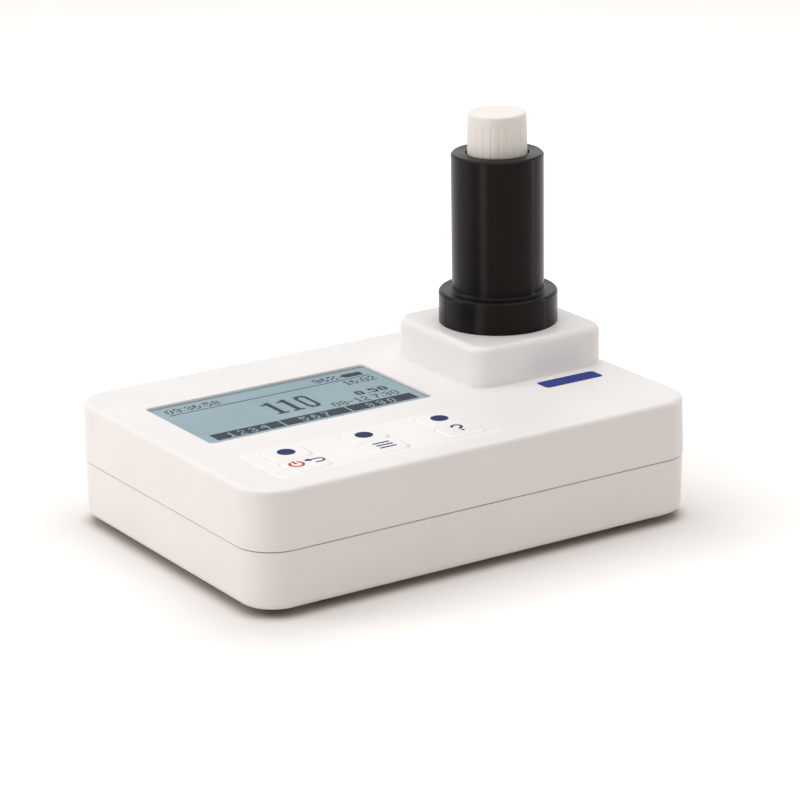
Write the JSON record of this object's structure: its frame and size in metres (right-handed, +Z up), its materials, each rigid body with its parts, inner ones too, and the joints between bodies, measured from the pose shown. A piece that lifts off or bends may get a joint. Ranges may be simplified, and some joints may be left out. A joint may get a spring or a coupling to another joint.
{
  "type": "portable photometer",
  "caption": "Flat bench case with a display, a keypad and a turret whose well holds a tall vial adapter and a screw-capped sample vial.",
  "frame": {"origin": "on the table, under the middle of the case", "axes": "+X along the case's long side to the user's right, +Y to the back, +Z up"},
  "size_m": [0.1424, 0.1024, 0.1076],
  "materials": {
    "case_white": "moulded ABS, fine satin",
    "seal_grey": "soft seal cord",
    "screw_steel": "zinc plated",
    "rubber_grey": "matt rubber",
    "window_clear": "clear acrylic, polished",
    "foam_black": "closed-cell foam",
    "foam_beige": "closed-cell foam",
    "display_blue": "reflective display film",
    "diffuser_white": "milky diffuser",
    "frame_grey": "moulded",
    "keypad_white": "moulded, smooth",
    "key_white": "moulded, smooth",
    "switch_metal": "plated",
    "label_navy": "printed film",
    "board_green": "solder resist",
    "chip_black": "moulded epoxy",
    "optics_black": "matt, light absorbing",
    "filter_glass": "coated filter",
    "optic_glass": "polished",
    "lamp_clear": "cast epoxy",
    "can_metal": "drawn can",
    "socket_ivory": "moulded",
    "cable_white": "flat film",
    "contact_nickel": "nickel plated strip",
    "cell_jacket": "shrink sleeve",
    "adapter_black": "turned acetal, satin",
    "vial_glass": "drawn glass",
    "sample_liquid": "clear liquid",
    "liner_white": "soft disc",
    "cap_white": "moulded polypropylene"
  },
  "bodies": {
    "case": {"upper_case": "case_white", "lower_case": "case_white", "case_seal": "seal_grey", "case_screws": "screw_steel", "foot_front_left": "rubber_grey", "foot_front_right": "rubber_grey", "foot_rear_left": "rubber_grey", "foot_rear_right": "rubber_grey", "display_window": "window_clear", "display_seal": "foam_beige", "display_glass": "display_blue", "display_backlight": "diffuser_white", "display_frame": "frame_grey", "keypad_panel": "keypad_white", "key_switches": "switch_metal", "label_plate": "label_navy", "main_board": "board_green", "board_screws": "screw_steel", "processor": "chip_black", "buzzer": "chip_black", "optical_block": "optics_black", "block_screws": "screw_steel", "well_seal": "foam_black", "interference_filter": "filter_glass", "beam_splitter": "optic_glass", "lens": "optic_glass", "lamp": "lamp_clear", "lamp_holder": "optics_black", "sample_detector": "can_metal", "reference_detector": "can_metal", "lamp_board": "board_green", "detector_board": "board_green", "optics_board": "board_green", "optics_screws": "screw_steel", "cable_sockets": "socket_ivory", "optics_cable": "cable_white", "detector_cable": "cable_white", "detector_socket": "socket_ivory", "battery_contacts": "contact_nickel", "battery_cover": "case_white", "battery_cover_screws": "screw_steel", "battery_cell_1": "cell_jacket", "battery_cell_2": "cell_jacket", "battery_cell_3": "cell_jacket"},
    "soft_key_left": {"soft_key_left": "key_white"},
    "soft_key_centre": {"soft_key_centre": "key_white"},
    "soft_key_right": {"soft_key_right": "key_white"},
    "power_key": {"power_key": "key_white"},
    "menu_key": {"menu_key": "key_white"},
    "help_key": {"help_key": "key_white"},
    "adapter": {"vial_adapter": "adapter_black"},
    "vial": {"vial_glass": "vial_glass", "sample_liquid": "sample_liquid"},
    "liner": {"cap_liner": "liner_white"},
    "cap": {"vial_cap": "cap_white"}
  },
  "joints": [
    {"name": "soft_key_left_press", "type": "slide", "parent": "case", "child": "soft_key_left", "axis": [0, 0, -1], "range_m": [0, 0.0005], "stiffness_N_per_m": 1200},
    {"name": "soft_key_centre_press", "type": "slide", "parent": "case", "child": "soft_key_centre", "axis": [0, 0, -1], "range_m": [0, 0.0005], "stiffness_N_per_m": 1200},
    {"name": "soft_key_right_press", "type": "slide", "parent": "case", "child": "soft_key_right", "axis": [0, 0, -1], "range_m": [0, 0.0005], "stiffness_N_per_m": 1200},
    {"name": "power_key_press", "type": "slide", "parent": "case", "child": "power_key", "axis": [0, 0, -1], "range_m": [0, 0.0005], "stiffness_N_per_m": 1200},
    {"name": "menu_key_press", "type": "slide", "parent": "case", "child": "menu_key", "axis": [0, 0, -1], "range_m": [0, 0.0005], "stiffness_N_per_m": 1200},
    {"name": "help_key_press", "type": "slide", "parent": "case", "child": "help_key", "axis": [0, 0, -1], "range_m": [0, 0.0005], "stiffness_N_per_m": 1200},
    {"name": "adapter_lift", "type": "slide", "parent": "case", "child": "adapter", "axis": [0, 0, 1], "range_m": [0, 0.042]},
    {"name": "vial_lift", "type": "slide", "parent": "adapter", "child": "vial", "axis": [0, 0, 1], "range_m": [0, 0.09]},
    {"name": "cap_rise", "type": "slide", "parent": "vial", "child": "liner", "axis": [0, 0, 1], "range_m": [0, 0.009]},
    {"name": "cap_turn", "type": "hinge", "parent": "liner", "child": "cap", "pos_m": [0.0472, 0.0117, 0.1], "axis": [0, 0, 1], "range_deg": [0, 1085]}
  ],
  "couplings": [
    {"joint": "cap_turn", "follows": "cap_rise", "rad_per_m": 2094.4}
  ]
}
